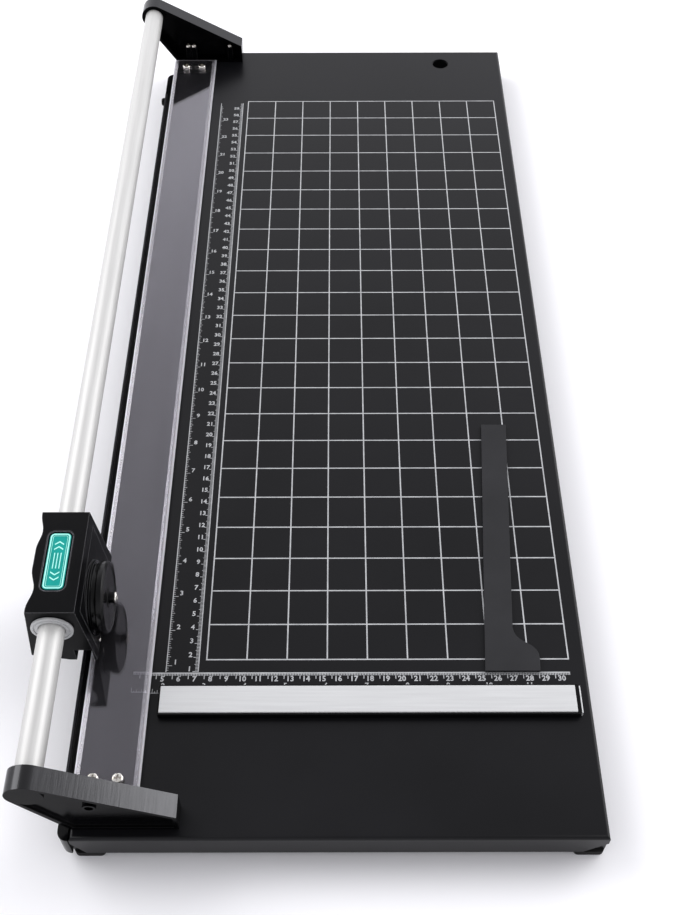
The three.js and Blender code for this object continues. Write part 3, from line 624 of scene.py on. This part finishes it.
def drum_cap():
    """The glossy cap over the blade's spring: a rim, a waist, a barrel and a dished face."""
    centre, radius, back, face = box_facts("blade_drum", "x")
    inner = DRUM["inner_r"] * MM
    hole = AXLE_HOLE_R * MM
    wall = DRUM["wall"] * MM
    barrel = radius - 0.4 * MM
    waist = radius - 1.8 * MM
    dish = face - 0.6 * MM
    corners = [
        (hole, face - wall), (inner, face - wall), (inner, back), (radius, back), (radius, back + 1.0 * MM),
        (waist, back + 1.6 * MM), (waist, back + 4.0 * MM), (barrel, back + 4.6 * MM),
        (barrel, face - 1.4 * MM), (barrel - 1.5 * MM, face), (barrel - 2.8 * MM, face),
        (barrel - 3.6 * MM, dish), (hole + 3.2 * MM, dish), (hole + 2.2 * MM, face), (hole, face),
    ]
    bm = bmesh.new()
    lathe(bm, rounded_profile(corners, 0.22 * MM), FINE_SIDES, frame_along("x", centre))
    make_piece("drum_cap", bm, "head", MATERIALS["gloss_plastic"], replaces=["blade_drum"])


def axle_pin():
    """The blade's axle: black, with a bright domed tip that has a dimple."""
    centre, radius, start, end = box_facts("blade_axle", "x")
    chamfer = 0.4 * MM
    dome_height = 1.2 * MM
    dome_inset = 0.9 * MM
    dimple_depth = 0.8 * MM
    dome_foot = end - dome_height
    dome = [(0, start), (radius - chamfer, start), (radius, start + chamfer), (radius, dome_foot)]
    steps = 6
    for i in range(1, steps):
        angle = math.pi / 2 * i / steps
        r = radius - dome_inset * (1 - math.cos(angle))
        dome.append((r, dome_foot + dome_height * math.sin(angle)))
    dimple_floor = end - dimple_depth
    dome += [(1.2 * MM, end), (0.9 * MM, dimple_floor), (0, dimple_floor)]
    bm = bmesh.new()
    lathe(bm, dome, 48, frame_along("x", centre))
    steel = MATERIALS["screw_steel"]
    pin = make_piece("axle_pin", bm, "blade", steel, replaces=["blade_axle"])
    pin.data.materials.append(MATERIALS["gloss_plastic"])
    bright_from = dome_foot - 0.05 * MM  # only the domed tip is bright
    for polygon in pin.data.polygons:
        if polygon.center.x < bright_from:
            polygon.material_index = 1


def round_blade():
    """The round blade, ground to its edge on the side away from the fixed knife."""
    centre, radius, left, right = box_facts("rotary_blade", "x")
    bore = AXLE_HOLE_R * MM
    corners = [
        (bore, left), (radius - BLADE_BEVEL * MM, left), (radius, (left + right) / 2),
        (radius - 0.2 * MM, right), (bore, right),
    ]
    bm = bmesh.new()
    lathe(bm, corners, 144, frame_along("x", centre))
    steel = MATERIALS["knife_steel"]
    make_piece("round_blade", bm, "blade", steel, replaces=["rotary_blade"])


rail_tube()
bush_ring("near_bush", -1)
bush_ring("far_bush", 1)
drum_cap()
axle_pin()
round_blade()


# ---------------------------------------------------------------- screws with cross recesses
STRIP_SCREW_HEAD = 2.8  # heights of the screws' heads, in millimetres
BRACKET_SCREW_HEAD = 2.2
COVER_SCREW_HEAD = 0.8
FENCE_SCREW_HEAD = 2.0
KNIFE_END_SCREW_HEAD = 2.9


def cross_screw(node, body, slot, axis, sign, head_height):
    """A pan-head screw at a CAD screw's place: domed head with a cross recess, plain shank."""
    centre, radius, low, high = box_facts(node, axis)
    top, tip = (high, low) if sign > 0 else (low, high)
    shank = radius * 0.5
    length = abs(top - tip)
    under = length - head_height
    recess = 0.75 * head_height
    slot_half = 0.17 * radius
    slot_reach = 0.58 * radius
    sides = 48
    side_share = 0.35  # how much of the head's height is its straight side
    crown_share = 0.72  # how much of its radius is its flat crown
    side_top = under + side_share * head_height
    profile = [(0, 0), (shank, 0), (shank, under), (radius, under), (radius, side_top)]
    steps = 6
    for i in range(1, steps + 1):
        angle = math.pi / 2 * i / steps
        r = radius * (crown_share + (1 - crown_share) * math.cos(angle))
        profile.append((r, under + head_height * (side_share + (1 - side_share) * math.sin(angle))))
    profile.append((0, length))
    bm = bmesh.new()
    lathe(bm, profile, sides, Matrix.Identity(4))
    screw = bpy.data.meshes.new(node + "_shape")
    bmesh.ops.recalc_face_normals(bm, faces=bm.faces)
    bm.to_mesh(screw)
    bm.free()
    target = bpy.data.objects.new(node + "_shape", screw)
    bpy.context.scene.collection.objects.link(target)
    cutter = cross_cutter(slot_reach, slot_half, length - recess, length + head_height)
    cut = target.modifiers.new("cut", "BOOLEAN")
    cut.operation = "DIFFERENCE"
    cut.solver = "EXACT"
    cut.object = cutter
    bpy.context.view_layer.update()
    depsgraph = bpy.context.evaluated_depsgraph_get()
    result = bpy.data.meshes.new_from_object(target.evaluated_get(depsgraph))
    flip = Matrix.Identity(4) if sign > 0 else Matrix.Rotation(math.pi, 4, "X")
    start = Vector(centre)
    start["xyz".index(axis)] = tip
    bm = bmesh.new()
    bm.from_mesh(result)
    bmesh.ops.transform(bm, matrix=frame_along(axis, start) @ flip, verts=bm.verts)
    for extra in (target, cutter):
        bpy.data.objects.remove(extra)
    make_piece(node + "_cross", bm, body, MATERIALS[slot], replaces=[node])


def cross_cutter(reach, half, low, high):
    """One closed plus-shaped prism, so that the boolean meets no overlapping faces."""
    outline = [
        (reach, half), (half, half), (half, reach), (-half, reach), (-half, half), (-reach, half),
        (-reach, -half), (-half, -half), (-half, -reach), (half, -reach), (half, -half), (reach, -half),
    ]
    bm = bmesh.new()
    bottom = [bm.verts.new((x, y, low)) for x, y in outline]
    top = [bm.verts.new((x, y, high)) for x, y in outline]
    bm.faces.new(bottom[::-1])
    bm.faces.new(top)
    for i in range(len(outline)):
        j = (i + 1) % len(outline)
        bm.faces.new([bottom[i], bottom[j], top[j], top[i]])
    bmesh.ops.recalc_face_normals(bm, faces=bm.faces)
    mesh = bpy.data.meshes.new("cutter")
    bm.to_mesh(mesh)
    bm.free()
    cutter = bpy.data.objects.new("cutter", mesh)
    bpy.context.scene.collection.objects.link(cutter)
    return cutter


for row in ("near", "far"):
    for column in (1, 2):
        name = f"strip_screw_{row}_{column}"
        cross_screw(name, "table", "screw_steel", "z", 1, STRIP_SCREW_HEAD * MM)
    for number in (1, 2, 3):
        name = f"{row}_bracket_screw_{number}"
        cross_screw(name, "table", "screw_steel", "z", 1, BRACKET_SCREW_HEAD * MM)
for number in (1, 2):
    cross_screw(f"cover_screw_{number}", "head", "screw_steel", "x", 1, COVER_SCREW_HEAD * MM)
    cross_screw(f"fence_screw_{number}", "table", "screw_steel", "z", -1, FENCE_SCREW_HEAD * MM)
cross_screw("knife_end_screw", "table", "cast_paint", "x", -1, KNIFE_END_SCREW_HEAD * MM)


# ---------------------------------------------------------------- printed grid and scales
INCH = 25.4
GRID_COLUMNS = 9
GRID_ROWS = 23
LINE = 0.9  # width of the grid's lines
INK_THICK = 0.05
NUMBER_HEIGHT = 3.4
CM_FRONT_NUMBER_HEIGHT = 3.6
INK_LOWER = 0.04  # the cross lines are a little thinner, so that no two faces share a plane


def printed_grid():
    bm = bmesh.new()
    width = GRID_COLUMNS * INCH
    depth = GRID_ROWS * INCH
    for column in range(GRID_COLUMNS + 1):
        x = column * INCH
        add_block(bm, x - LINE / 2, x + LINE / 2, -LINE / 2, depth + LINE / 2, 0, INK_THICK)
    for row in range(GRID_ROWS + 1):
        y = row * INCH
        add_block(bm, -LINE / 2, width + LINE / 2, y - LINE / 2, y + LINE / 2, 0, INK_LOWER)
    make_piece("printed_grid", bm, "table", INK, smooth=False)


def add_number(bm, value, x, y, height):
    """A printed number, centred at (x, y)."""
    curve = bpy.data.curves.new("number", "FONT")
    curve.body = str(value)
    curve.size = height * 1.4 * MM
    curve.extrude = INK_THICK / 2 * MM
    curve.offset = 0.15 * MM
    curve.resolution_u = 2
    curve.align_x = "CENTER"
    curve.align_y = "CENTER"
    writer = bpy.data.objects.new("number", curve)
    bpy.context.scene.collection.objects.link(writer)
    bpy.context.view_layer.update()
    glyphs = bpy.data.meshes.new_from_object(writer)
    glyphs.transform(Matrix.Translation(at(x, y, INK_THICK / 2)))
    bm.from_mesh(glyphs)
    bpy.data.objects.remove(writer)
    bpy.data.curves.remove(curve)
    bpy.data.meshes.remove(glyphs)


def tick_length(count, ticks):
    """The length of a scale's line: the first pair whose number divides the count gives it."""
    return next(length for every, length in ticks if count % every == 0)


CM_ZERO_X = -80.8  # the centimetre scale along the front counts from the knife's edge
FRONT_SCALES_X = (-45.2, 228.5)
CM_FRONT_Y = -9.0
CM_FRONT_TICKS = ((10, 4.6), (5, 3.0), (1, 2.2))
CM_FRONT_FIRST = 5  # the first centimetre that has its number
INCH_FRONT_Y = -23.4
INCH_FRONT_TICKS = ((8, 3.1), (2, 2.2), (1, 1.5))
INCH_FRONT_NUMBERS_X = -26.1


def front_scales():
    """Centimetres in front of the grid, and inches that are mostly under the fence."""
    bm = bmesh.new()
    left, right = FRONT_SCALES_X
    add_block(bm, left, right, CM_FRONT_Y - 0.8, CM_FRONT_Y, 0, INK_THICK)
    half = 0.27  # of a centimetre line's width
    for millimetre in range(math.ceil(left - CM_ZERO_X), math.floor(right - CM_ZERO_X) + 1):
        x = CM_ZERO_X + millimetre
        length = tick_length(millimetre, CM_FRONT_TICKS)
        add_block(bm, x - half, x + half, CM_FRONT_Y - length, CM_FRONT_Y - 0.3, 0, INK_LOWER)
        if millimetre % 10 == 0 and millimetre >= 10 * CM_FRONT_FIRST:
            add_number(bm, millimetre // 10, x + 3.8, CM_FRONT_Y - 4.6, CM_FRONT_NUMBER_HEIGHT)
    add_block(bm, left, right, INCH_FRONT_Y, INCH_FRONT_Y + 0.45, 0, INK_THICK)
    step = INCH / 16
    half = 0.18  # of an inch line's width
    for sixteenth in range(int((right - left) / step) + 1):
        x = left + sixteenth * step
        length = tick_length(sixteenth, INCH_FRONT_TICKS)
        add_block(bm, x - half, x + half, INCH_FRONT_Y + 0.3, INCH_FRONT_Y + length, 0, INK_LOWER)
    for inch in range(10):
        add_number(bm, inch + 2, INCH_FRONT_NUMBERS_X + inch * INCH, INCH_FRONT_Y + 5.1, NUMBER_HEIGHT)
    make_piece("printed_front_scales", bm, "table", INK, smooth=False)


LEFT_SCALES_Y = (-8.6, 581.5)
INCH_LEFT_X = -25.4
INCH_LEFT_TICKS = ((16, 3.8), (4, 2.6), (1, 1.7))
INCH_LEFT_NUMBERS = (-19.7, -1.8)  # where the first number stands
CM_LEFT_X = -4.5
CM_LEFT_TICKS = ((10, 4.0), (5, 3.0), (1, 2.4))
CM_LEFT_NUMBERS = (-10.5, -6.6)
CM_LEFT_COUNT = 59


def left_scales():
    """Inches and centimetres beside the grid, their numbers facing each other."""
    bm = bmesh.new()
    near, far = LEFT_SCALES_Y
    add_block(bm, INCH_LEFT_X, INCH_LEFT_X + 0.6, near, far, 0, INK_THICK)
    step = INCH / 16
    half = 0.18  # of an inch line's width
    number_x, first_y = INCH_LEFT_NUMBERS
    number_lag = 2.4  # a number stands just beyond its long line
    for sixteenth in range(-4, int((far - first_y) / step)):
        y = first_y - number_lag + sixteenth * step
        if not near < y < far:
            continue
        length = tick_length(sixteenth, INCH_LEFT_TICKS)
        add_block(bm, INCH_LEFT_X + 0.4, INCH_LEFT_X + length, y - half, y + half, 0, INK_LOWER)
    for inch in range(GRID_ROWS):
        add_number(bm, inch + 1, number_x, first_y + inch * INCH, NUMBER_HEIGHT)
    add_block(bm, CM_LEFT_X - 0.6, CM_LEFT_X, near, far, 0, INK_THICK)
    half = 0.2  # of a centimetre line's width
    for millimetre in range(int(far - near)):
        y = near + 0.3 + millimetre
        length = tick_length(millimetre, CM_LEFT_TICKS)
        add_block(bm, CM_LEFT_X - length, CM_LEFT_X - 0.4, y - half, y + half, 0, INK_LOWER)
    number_x, first_y = CM_LEFT_NUMBERS
    for centimetre in range(CM_LEFT_COUNT):
        add_number(bm, centimetre + 1, number_x, first_y + centimetre * 10, NUMBER_HEIGHT)
    make_piece("printed_left_scales", bm, "table", INK, smooth=False)


printed_grid()
front_scales()
left_scales()


# ---------------------------------------------------------------- label: a plain two-way slide sign
def ring_outline(x0, x1, y0, y1, r, steps=6):
    """Points round a rounded rectangle, counter-clockwise."""
    points = []
    corners = ((x1 - r, y0 + r, -90), (x1 - r, y1 - r, 0), (x0 + r, y1 - r, 90), (x0 + r, y0 + r, 180))
    for cx, cy, first in corners:
        for i in range(steps + 1):
            angle = math.radians(first + 90 * i / steps)
            points.append((cx + r * math.cos(angle), cy + r * math.sin(angle)))
    return points


def add_ring(bm, outer, inner, z0, z1):
    """A flat closed ring between two outlines with the same number of points."""
    rings = [[bm.verts.new((x, y, z)) for x, y in line] for line in (outer, inner) for z in (z0, z1)]
    outer_low, outer_high, inner_low, inner_high = rings
    n = len(outer)
    for i in range(n):
        j = (i + 1) % n
        bm.faces.new([outer_low[i], outer_low[j], outer_high[j], outer_high[i]])
        bm.faces.new([outer_high[i], outer_high[j], inner_high[j], inner_high[i]])
        bm.faces.new([inner_high[i], inner_high[j], inner_low[j], inner_low[i]])
        bm.faces.new([inner_low[i], inner_low[j], outer_low[j], outer_low[i]])


def add_prism(bm, points, z0, z1):
    low = [bm.verts.new((x, y, z0)) for x, y in points]
    high = [bm.verts.new((x, y, z1)) for x, y in points]
    bm.faces.new(low[::-1])
    bm.faces.new(high)
    for i in range(len(points)):
        j = (i + 1) % len(points)
        bm.faces.new([low[i], low[j], high[j], high[i]])


def label_art():
    low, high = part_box("label_plate")
    middle_x = (low.x + high.x) / 2
    middle_y = (low.y + high.y) / 2
    half_x = (high.x - low.x) / 2
    half_y = (high.y - low.y) / 2
    top = high.z
    ink = top + 0.12 * MM
    bm = bmesh.new()

    def outline(inset, r):
        return ring_outline(low.x + inset, high.x - inset, low.y + inset, high.y - inset, r)

    add_ring(bm, outline(0.5 * MM, 2.5 * MM), outline(1.3 * MM, 1.8 * MM), top, ink)
    add_ring(bm, outline(2.0 * MM, 1.2 * MM), outline(2.25 * MM, 1.0 * MM), top, ink)
    wing = 0.42 * half_x
    rise = 1.9 * MM
    stroke = 1.0 * MM
    for direction in (-1, 1):
        for order in (0.38, 0.56):
            y = middle_y + direction * order * half_y
            chevron = [
                (middle_x - wing, y), (middle_x, y + direction * rise), (middle_x + wing, y),
                (middle_x + wing, y + direction * stroke), (middle_x, y + direction * (rise + stroke)),
                (middle_x - wing, y + direction * stroke),
            ]
            add_prism(bm, chevron, top, ink)
    bar = 0.28 * half_y
    for offset in (-0.30, 0, 0.30):
        x = middle_x + offset * half_x
        left, right = x - 0.3 * MM, x + 0.3 * MM
        near, far = middle_y - bar, middle_y + bar
        add_prism(bm, [(left, near), (right, near), (right, far), (left, far)], top, ink)
    make_piece("label_art", bm, "head", MINT, smooth=False)


def label_bezel():
    """The bright line round the label's pocket."""
    low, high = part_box("label_plate")

    def outline(outset, r):
        return ring_outline(low.x - outset, high.x + outset, low.y - outset, high.y + outset, r)

    inner = outline(1.0 * MM, 4.0 * MM)
    outer = outline(1.35 * MM, 4.35 * MM)
    bm = bmesh.new()
    add_ring(bm, outer, inner, high.z - 1.0 * MM, high.z + 0.15 * MM)
    make_piece("label_bezel", bm, "head", SILVER, smooth=False)


label_art()
label_bezel()


# ---------------------------------------------------------------- floor, light and camera
def floor_paper():
    pale = (0.90, 0.895, 0.91)
    paler = tuple(c * 1.01 for c in pale)
    n = Nodes("floor_paper")
    n.link(n.ramp(n.noise(3, 3), [(0.3, pale), (0.7, paler)]), "Base Color")
    n.set(Roughness=0.8)
    return n.material


def studio_floor():
    bm = bmesh.new()
    half = 20.0
    corners = ((-half, -half), (half, -half), (half, half), (-half, half))
    bm.faces.new([bm.verts.new((x, y, 0)) for x, y in corners])
    mesh = bpy.data.meshes.new("studio_floor")
    bm.to_mesh(mesh)
    bm.free()
    mesh.materials.append(floor_paper())
    floor = bpy.data.objects.new("studio_floor", mesh)
    bpy.context.scene.collection.objects.link(floor)
    floor.location.z = cad_box[0].z


def soft_light(name, place, aim, size, power):
    lamp = bpy.data.lights.new(name, "AREA")
    lamp.shape = "RECTANGLE"
    lamp.size, lamp.size_y = size
    lamp.energy = power
    light = bpy.data.objects.new(name, lamp)
    bpy.context.scene.collection.objects.link(light)
    light.location = place
    light.rotation_euler = (Vector(aim) - Vector(place)).to_track_quat("-Z", "Y").to_euler()


def studio_world():
    """A pale room, bright low down, dim overhead and dimmer on the camera's side."""
    world = bpy.data.worlds.new("studio")
    bpy.context.scene.world = world
    world.use_nodes = True
    tree = world.node_tree
    background = tree.nodes["Background"]
    direction = tree.nodes.new("ShaderNodeTexCoord")
    parts = tree.nodes.new("ShaderNodeSeparateXYZ")
    tree.links.new(direction.outputs["Generated"], parts.inputs["Vector"])
    height = tree.nodes.new("ShaderNodeValToRGB")
    stops = height.color_ramp.elements
    stops[0].position, stops[0].color = 0.30, (1.45, 1.45, 1.50, 1)
    stops[1].position, stops[1].color = 0.98, (0.58, 0.58, 0.60, 1)
    stops.new(0.62).color = (1.32, 1.32, 1.38, 1)
    stops.new(0.80).color = (0.90, 0.90, 0.93, 1)
    tree.links.new(parts.outputs["Z"], height.inputs["Fac"])
    depth = tree.nodes.new("ShaderNodeMapRange")
    depth.inputs["From Min"].default_value = -0.6
    depth.inputs["From Max"].default_value = 0.3
    depth.inputs["To Min"].default_value = 0.6
    depth.inputs["To Max"].default_value = 1.0
    tree.links.new(parts.outputs["Y"], depth.inputs["Value"])
    tree.links.new(height.outputs["Color"], background.inputs["Color"])
    tree.links.new(depth.outputs["Result"], background.inputs["Strength"])


def photo_camera():
    """The camera stands in front of the trimmer and looks down along it."""
    data = bpy.data.cameras.new("camera")
    data.sensor_width = 36
    data.lens = 46.97
    camera = bpy.data.objects.new("camera", data)
    bpy.context.scene.collection.objects.link(camera)
    place = at(84.66, -364.40, 673.28)
    forward = Vector((-0.00056, 0.61598, -0.78776))
    roll = math.radians(-0.18)
    camera.location = place
    aim = forward.to_track_quat("-Z", "Y").to_matrix()
    camera.rotation_euler = (aim @ Matrix.Rotation(roll, 3, "Z")).to_euler()
    bpy.context.scene.camera = camera


studio_floor()
studio_world()
soft_light("key", (2.05, 0.75, 1.42), (-0.1, -0.3, 0), (2.0, 1.1), 31)
soft_light("left_box", (-2.1, 1.0, 1.9), (0, 0, 0), (2.2, 1.6), 40)
photo_camera()
bpy.context.scene.view_settings.view_transform = "Standard"
bpy.context.scene.view_settings.gamma = 0.92
